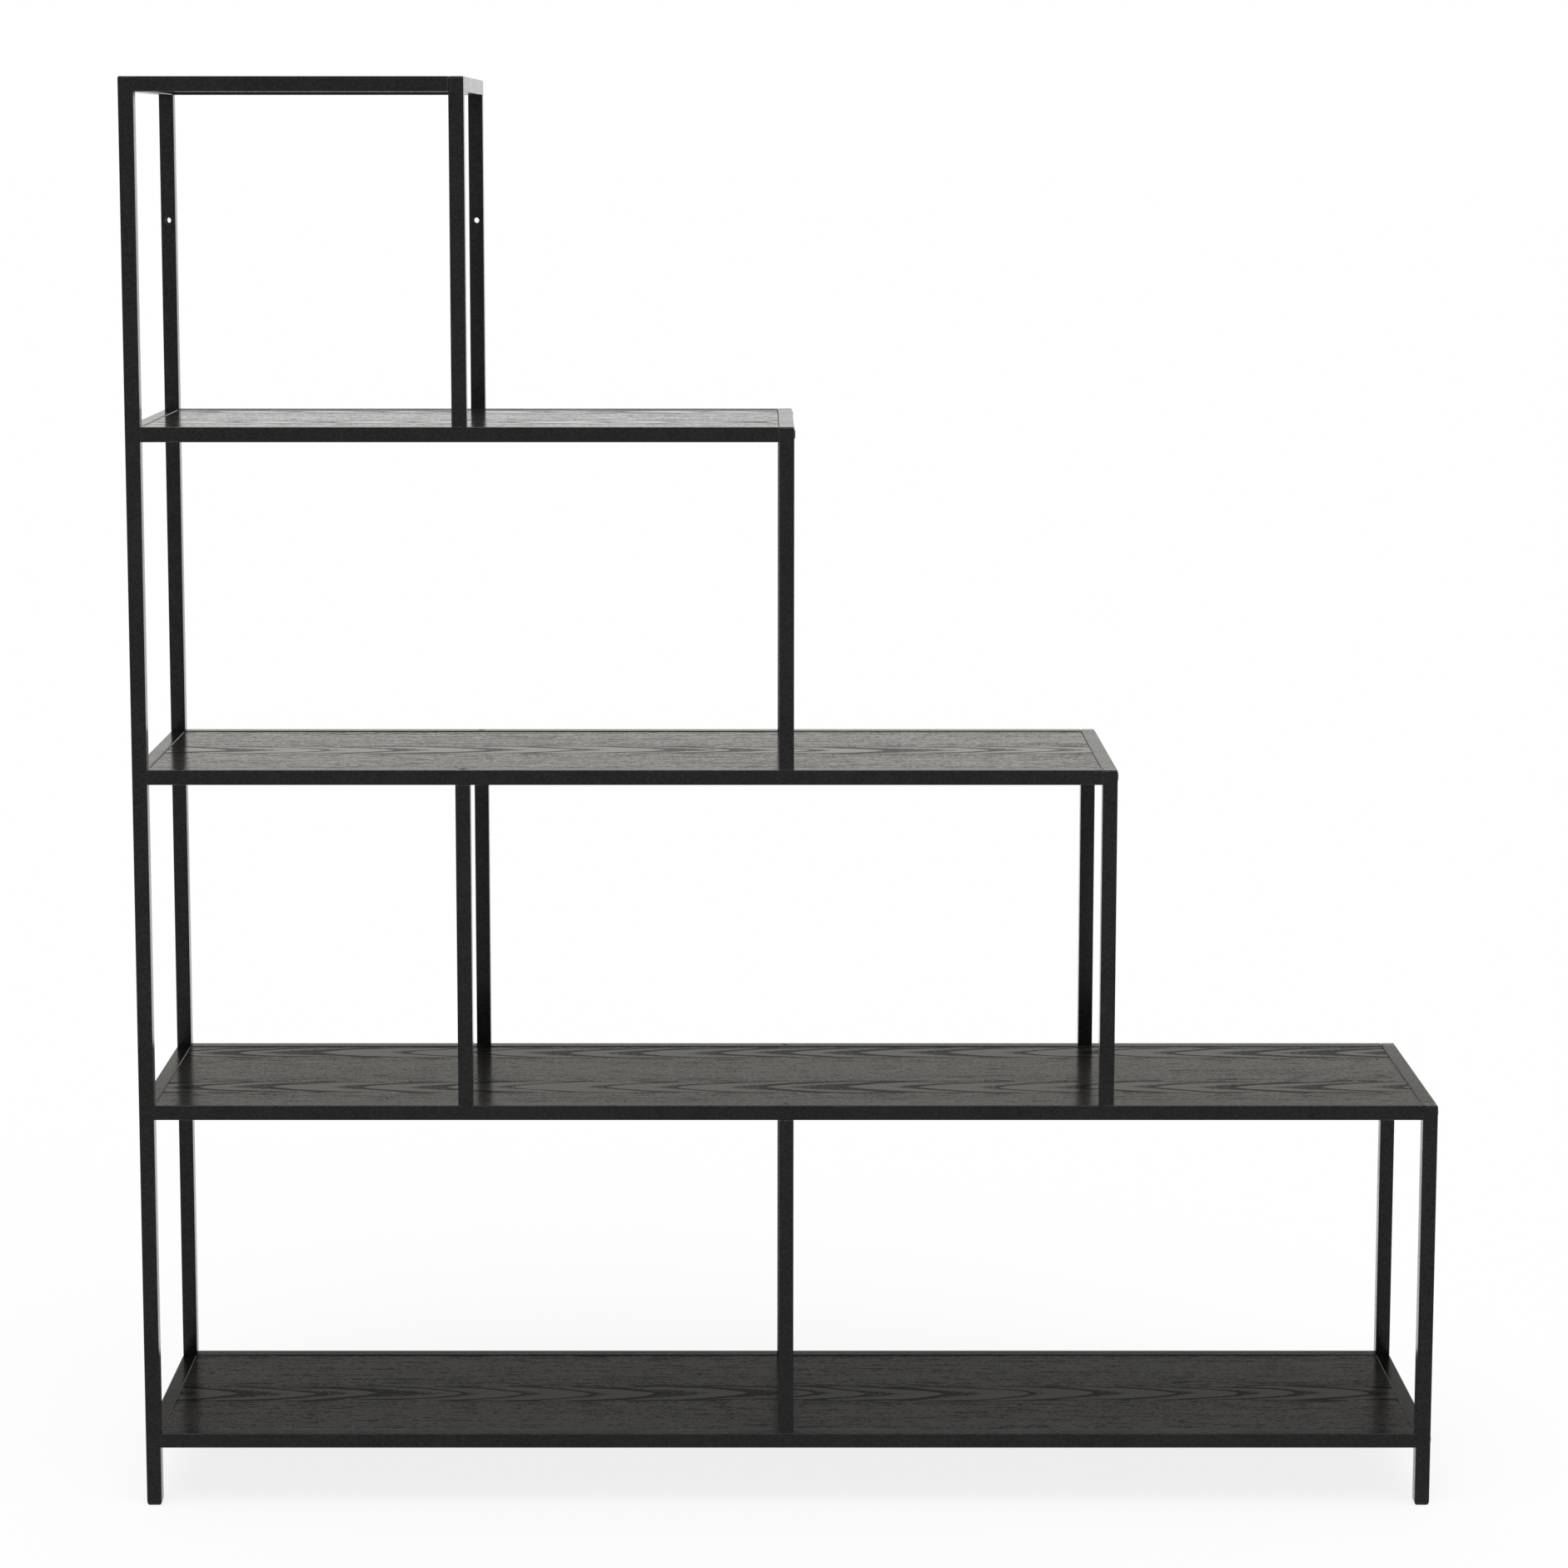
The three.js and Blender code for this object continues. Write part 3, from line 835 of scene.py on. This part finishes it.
def powder_coat():
    """Satin black powder coat: a fine grain, a slight peel, and ends and edges painted lighter, as
    rubbed wear and as a painted highlight.
    """
    coat = Finish("black_powder_coat")
    grain = coat.noise(coat.place, COAT_GRAIN)
    peel = coat.noise(coat.place, COAT_PEEL)
    patches = coat.noise(coat.place, COAT_PATCHES, detail=3.0)
    handled = coat.noise(coat.place, COAT_HANDLING)
    shade = coat.smooth_step(grain * 0.35 + peel * 0.4 + patches * 0.25, 0.36, 0.64)
    even = coat.mix(shade, DEEP_BLACK, SOFT_BLACK)
    rubbed = coat.smooth_step(patches * 0.5 + peel * 0.5, 0.34, 0.6)
    end_wear_and_highlight = coat.mark("worn_end") * END_WEAR_AND_HIGHLIGHT
    edge_wear_and_highlight = coat.mark("worn_edge") * EDGE_WEAR_AND_HIGHLIGHT
    # Ends and edges lighter in patches: coat wear, and a painted highlight along their rims
    wear_and_highlight = coat.math("MAXIMUM", end_wear_and_highlight, edge_wear_and_highlight) * rubbed
    colour = coat.blend(wear_and_highlight, even, (*WORN_AND_HIGHLIT_COAT, 1.0))
    gloss = coat.smooth_step(grain * 0.35 + peel * 0.65 + (handled - 0.5) * 0.2, 0.36, 0.64)
    roughness = 0.22 + (patches - 0.5) * 0.12 + (handled - 0.5) * 0.08
    relief = coat.bump(grain * 0.4 + peel, COAT_RELIEF)
    return coat.surface(
        base_color=colour, roughness=roughness, normal=relief, specular_ior_level=BLACK_SPECULAR,
        coat_weight=0.3 + gloss * 0.7, coat_roughness=0.22, coat_ior=BLACK_IOR,
    )


PLASTIC_GRAIN = 1400.0
PLASTIC_BLOTCHES = 330.0
PLASTIC_SCUFFS = 70.0
PLASTIC_RELIEF = 0.00004


def foot_plastic():
    """Black moulded plastic, as dark as the coat above it, with a fine spark-eroded grain."""
    plastic = Finish("black_foot_plastic")
    grain = plastic.noise(plastic.place, PLASTIC_GRAIN)
    blotches = plastic.noise(plastic.place, PLASTIC_BLOTCHES)
    scuffs = plastic.noise(plastic.place, PLASTIC_SCUFFS, detail=4.0)
    shade = plastic.smooth_step(blotches * 0.6 + scuffs * 0.4, 0.38, 0.64)
    colour = plastic.mix(shade, DEEP_BLACK, SOFT_BLACK)
    roughness = 0.3 + (scuffs - 0.5) * 0.2
    relief = plastic.bump(grain, PLASTIC_RELIEF)
    return plastic.surface(
        base_color=colour, roughness=roughness, normal=relief, specular_ior_level=BLACK_SPECULAR,
        coat_weight=0.3 + grain * 0.7, coat_roughness=0.16, coat_ior=BLACK_IOR,
    )


TURNING_RINGS = 1800.0
RUBBED_SPOTS = 420.0
OXIDE_RELIEF = 0.00002
OXIDE_BLACK = (0.09, 0.09, 0.092)
BARE_STEEL = (0.28, 0.277, 0.27)


def black_oxide():
    """Bolt steel with a black oxide skin: fine marks, and bare steel where a key has rubbed."""
    oxide = Finish("black_oxide_steel")
    turning = oxide.noise(oxide.place, TURNING_RINGS)
    rubbed = oxide.smooth_step(oxide.noise(oxide.place, RUBBED_SPOTS, detail=3.0), 0.5, 0.72)
    colour = oxide.mix(rubbed, OXIDE_BLACK, BARE_STEEL)
    roughness = 0.36 + (turning - 0.5) * 0.16
    relief = oxide.bump(turning, OXIDE_RELIEF)
    return oxide.surface(base_color=colour, metallic=1.0, roughness=roughness, normal=relief)


# The foil's figure: rows of pointed arches with straight grain between them
ROW_PITCH = 0.192
ROW_HALF_WIDTH = 0.028
ROW_WANDER = 0.022
ROW_MIDDLE = {"base": -0.010, "lower": -0.072, "middle": -0.004, "upper": -0.076}
ARCHES_POINT = {"base": 1, "lower": -1, "middle": 1, "upper": -1}
ARCH_SPACING = {"base": 0.094, "lower": 0.104, "middle": 0.108, "upper": 0.108}
ARCH_REACH = 0.132
ARCH_LINE = 0.0038
RIPPLE_DEPTH = 0.012
SERRATION_DEPTH = 0.005
UNEQUAL_ARCHES = 0.13
UNEQUAL_LENGTH = 0.2
# Short of the row's edge, so that an arch line's slope stays finite there
MOST_WITHIN = 0.995
LEAST_FALL = 0.08
LEAST_SMEAR_SHARE = 0.3
MOST_SMEAR_SHARE = 0.95
# Lines beside a row: the distance from its middle in half widths, and how dark the line is
BOUNDS = ((1.04, 0.8), (1.26, 0.5), (1.55, 0.4), (1.95, 0.3))
BOUND_CORE = 0.0008
BOUND_REACH = 0.0026

# Where the shelves' and the rows' grain differ
FIRST_SEED = 1.3
SEED_STEP = 3.7
ROW_NOISE_STEP = 3.1
ROW_TURN = 0.37

# Streaks along the grain: their length and width in metres, and their own seed
WANDER = (0.25, 1.0, 0)
UNEVENNESS = (0.12, 0.03, 1)
RIPPLE = (0.03, 0.012, 2)
SERRATION = (0.004, 0.0016, 3)
SPECKLE = (0.006, 0.002, 4)
LONG_LINES = (0.4, 0.005, 5)
SHORT_LINES = (0.05, 0.0028, 6)
PORES = (0.014, 0.002, 7)
FIBRE = (0.006, 0.0014, 8)
BANDS = (0.25, 0.009, 9)
MOTTLE = (0.004, 0.006, 10)
BREAKS = (0.05, 5.0)

# How light the bare board is, and how much each dark mark takes away
BOARD_LIGHT = 1.12
LINE_DARK = 2.2
SMEAR_DARK = 3.4
BOUND_DARK = 1.5
ASH_MARK = (0.0012, 0.0011, 0.001)
ASH_BOARD = (0.0255, 0.0243, 0.0227)
ASH_RELIEF = 0.00012


class AshFinish(Finish):
    """A finish with streaks along the shelf, which differ from shelf to shelf."""

    def __init__(self, shelf, number):
        super().__init__(f"black_ash_{shelf}")
        self.seed = SEED_STEP * number + FIRST_SEED
        apart = self.add("ShaderNodeSeparateXYZ", inputs={"Vector": self.place})
        self.along = apart["X"]
        self.across = apart["Y"]

    def streaks(self, length, width, own_seed):
        """Noise drawn out along the grain: each feature about as long and as wide as told."""
        seed = self.seed + own_seed
        return self.noise(self.combine(self.along / length, self.across / width, seed))


def arch_rows(ash, shelf):
    """The row of arches that a point is in, and how many half widths it is from its middle."""
    wander = (ash.streaks(*WANDER) - 0.5) * ROW_WANDER
    rows = (ash.across - ROW_MIDDLE[shelf] + wander) / ROW_PITCH + 0.5
    row = ash.math("FLOOR", rows)
    off_row = (rows - row - 0.5) * (ROW_PITCH / ROW_HALF_WIDTH)
    uneven = 1 + (ash.streaks(*UNEVENNESS) - 0.5) * 0.6
    return row, ash.math("ABSOLUTE", off_row) * uneven


def arch_marks(ash, shelf, row, spread, in_row):
    """The arch lines, the smears behind their points, and the place between two lines."""
    within = ash.math("MINIMUM", spread, MOST_WITHIN)
    fall = ash.math("SQRT", 1 - within * within)
    ripple = (ash.streaks(*RIPPLE) - 0.5) * RIPPLE_DEPTH
    serration = (ash.streaks(*SERRATION) - 0.5) * SERRATION_DEPTH
    nose = ARCH_REACH * (0.8 - fall * 0.8 + within * 0.2)
    along = ash.along * ARCHES_POINT[shelf] + nose + ripple + serration

    # Whole turns are the arch lines, which close to a point. Each arch has its own chance.
    place = ash.combine(along / UNEQUAL_LENGTH, row * ROW_NOISE_STEP, ash.seed)
    unequal = ash.noise(place) * UNEQUAL_ARCHES
    spacing = ARCH_SPACING[shelf]
    turns = (along + unequal) / spacing + row * ROW_TURN
    arch = ash.math("FLOOR", turns)
    part = turns - arch
    own = ash.chance(ash.combine(arch, row, ash.seed))

    # The distance to the nearest line is taken across it, so its steep sides are no wider
    slope = within / (fall + LEAST_FALL) * (ARCH_REACH / ROW_HALF_WIDTH)
    steepness = ash.math("SQRT", 1 + slope * slope)
    to_line = ash.math("MINIMUM", part, 1 - part) * spacing / steepness
    width = ARCH_LINE * (1.1 + own * 0.4 - within * 0.2)
    line = (1 - ash.smooth_step(to_line / width, 0.3, 1.0)) * in_row

    speckle = ash.smooth_step(ash.streaks(*SPECKLE), 0.4, 0.62)
    smear_share = LEAST_SMEAR_SHARE + own * own * (MOST_SMEAR_SHARE - LEAST_SMEAR_SHARE)
    tip = (1 - ash.smooth_step(part / smear_share + spread * 0.6, 0.3, 1.1)) * in_row
    rim = (1 - ash.smooth_step(part, 0.0, 0.2)) * in_row * 0.65
    smear = ash.math("MAXIMUM", tip, rim) * (0.2 + 0.8 * speckle) * (0.5 + own * 0.5)
    return line, smear, part


def row_bounds(ash, spread):
    """Thin broken lines that bound each row."""
    bounds = 0.0
    for place, strength in BOUNDS:
        gap = ash.math("ABSOLUTE", spread - place) * ROW_HALF_WIDTH
        broken = ash.smooth_step(ash.streaks(*BREAKS, place), 0.4, 0.62)
        line = (1 - ash.smooth_step(gap, BOUND_CORE, BOUND_REACH)) * broken
        bounds = line * strength + bounds
    return bounds


def straight_grain(ash, straight):
    """Dark lines and pores, which are weaker where the grain isn't straight."""
    long_lines = ash.smooth_step(ash.streaks(*LONG_LINES), 0.52, 0.66)
    short_lines = ash.smooth_step(ash.streaks(*SHORT_LINES), 0.53, 0.66)
    pores = ash.smooth_step(ash.streaks(*PORES), 0.52, 0.68)
    return (long_lines * 0.3 + short_lines * 0.65) * straight + pores * (0.2 + straight * 0.45)


def ash_finish(shelf, number):
    """Black ash foil with a satin lacquer. Dark marks are duller and lie a little deeper."""
    ash = AshFinish(shelf, number)
    row, spread = arch_rows(ash, shelf)
    in_row = 1 - ash.smooth_step(spread, 0.93, 1.03)
    straight = 1 - in_row
    line, smear, part = arch_marks(ash, shelf, row, spread, in_row)
    bounds = row_bounds(ash, spread)
    lines = straight_grain(ash, straight)
    calm = in_row * ash.smooth_step(part, 0.25, 0.7) * 0.3
    fibre = ash.streaks(*FIBRE) - 0.5
    bands = ash.streaks(*BANDS) - 0.5
    mottle = ash.streaks(*MOTTLE) - 0.5

    dark = line * LINE_DARK + smear * SMEAR_DARK + bounds * BOUND_DARK + lines
    texture = fibre * 2.0 + bands * 0.5 + mottle * 2.0
    light = BOARD_LIGHT - dark + calm + texture * (0.55 + straight * 0.45)
    tone = ash.smooth_step(light, 0.05, 1.25)
    colour = ash.mix(tone, ASH_MARK, ASH_BOARD)
    relief = ash.bump(tone, ASH_RELIEF)
    return ash.surface(
        base_color=colour, roughness=0.5 - tone * 0.2, normal=relief, specular_ior_level=0.03,
        coat_weight=0.35 + tone * 0.65, coat_roughness=0.15, coat_ior=1.34,
    )


# Studio

FLOOR_HALF = 250.0
FLOOR_COLOUR = (0.92, 0.92, 0.92, 1.0)
FLOOR_GLOW = 0.84
# The studio's wall: the sine of the height above the horizon, and its colour there
WALL_STOPS = (
    (0.0, (1.0, 1.0, 1.0, 1.0)),
    (0.12, (1.0, 1.0, 1.0, 1.0)),
    (0.15, (0.78, 0.755, 0.69, 1.0)),
    (0.235, (0.41, 0.40, 0.365, 1.0)),
    (0.31, (0.09, 0.088, 0.08, 1.0)),
    (0.5, (0.12, 0.12, 0.12, 1.0)),
    (1.0, (0.3, 0.3, 0.3, 1.0)),
)
# Each lamp: its name, its tilt and turn in degrees, its strength, and how wide it is in degrees
LAMPS = (
    ("key_light", (20, -24), 1.4, 50),
    ("fill_light", (24, 35), 0.9, 60),
    ("back_light", (-30, 10), 0.6, 60),
)


def make_floor():
    """A pale floor with the shelf's shadow, which the camera and reflections see nearly white."""
    floor = Finish("pale_floor")
    diffuse = floor.add("ShaderNodeBsdfDiffuse", inputs={"Color": FLOOR_COLOUR})["BSDF"]
    white = floor.add("ShaderNodeEmission", inputs={"Strength": 1.0})["Emission"]
    rays = floor.add("ShaderNodeLightPath")
    seen = floor.math("MAXIMUM", rays["Is Camera Ray"], rays["Is Glossy Ray"])
    seen = floor.math("MAXIMUM", seen, rays["Is Transmission Ray"])
    inputs = {0: seen * FLOOR_GLOW, 1: diffuse, 2: white}
    mixed = floor.add("ShaderNodeMixShader", inputs=inputs)["Shader"]
    floor.add("ShaderNodeOutputMaterial", inputs={"Surface": mixed})
    mesh = bpy.data.meshes.new("floor")
    signs = ((-1, -1), (1, -1), (1, 1), (-1, 1))
    corners = [(x * FLOOR_HALF, y * FLOOR_HALF, 0) for x, y in signs]
    mesh.from_pydata(corners, [], [(0, 1, 2, 3)])
    mesh.materials.append(floor.material)
    new_piece("floor", mesh)


def make_world():
    """A white horizon, a wall above it that gets dimmer and warmer, and a dim grey ceiling."""
    world = bpy.data.worlds.new("studio")
    bpy.context.scene.world = world
    world.use_nodes = True
    sky = Graph(world.node_tree)
    sky.tree.nodes.clear()
    way = sky.add("ShaderNodeTexCoord")["Generated"]
    height = sky.add("ShaderNodeSeparateXYZ", inputs={"Vector": way})["Z"]
    wall = sky.add("ShaderNodeValToRGB", {"stops": WALL_STOPS}, {"Fac": height})["Color"]
    background = sky.add("ShaderNodeBackground", inputs={"Color": wall})["Background"]
    sky.add("ShaderNodeOutputWorld", inputs={"Surface": background})


def make_lamps():
    for name, (tilt, turn), strength, breadth in LAMPS:
        lamp = bpy.data.lights.new(name, "SUN")
        lamp.energy = strength
        lamp.angle = math.radians(breadth)
        holder = bpy.data.objects.new(name, lamp)
        holder.rotation_euler = Euler((math.radians(tilt), 0, math.radians(turn)))
        bpy.context.scene.collection.objects.link(holder)


def make_camera():
    camera = bpy.data.cameras.new("camera")
    camera.lens = LENS
    camera.sensor_width = SENSOR
    camera.shift_x, camera.shift_y = EYE_SHIFT
    camera.clip_end = 4 * FLOOR_HALF
    holder = bpy.data.objects.new("camera", camera)
    holder.location = EYE
    holder.rotation_euler = Euler((math.pi / 2 - EYE_PITCH, 0, 0))
    bpy.context.scene.collection.objects.link(holder)
    bpy.context.scene.camera = holder


make_camera()
make_world()
make_lamps()
make_floor()

coated_steel = powder_coat()
make_posts(coated_steel)
make_long_rails(coated_steel)
make_side_rails(coated_steel)
make_panels()
make_feet(foot_plastic())
bolt_steel = black_oxide()
make_end_bolts(bolt_steel)
make_inner_post_bolts(bolt_steel)

bpy.context.scene.view_settings.view_transform = "Standard"
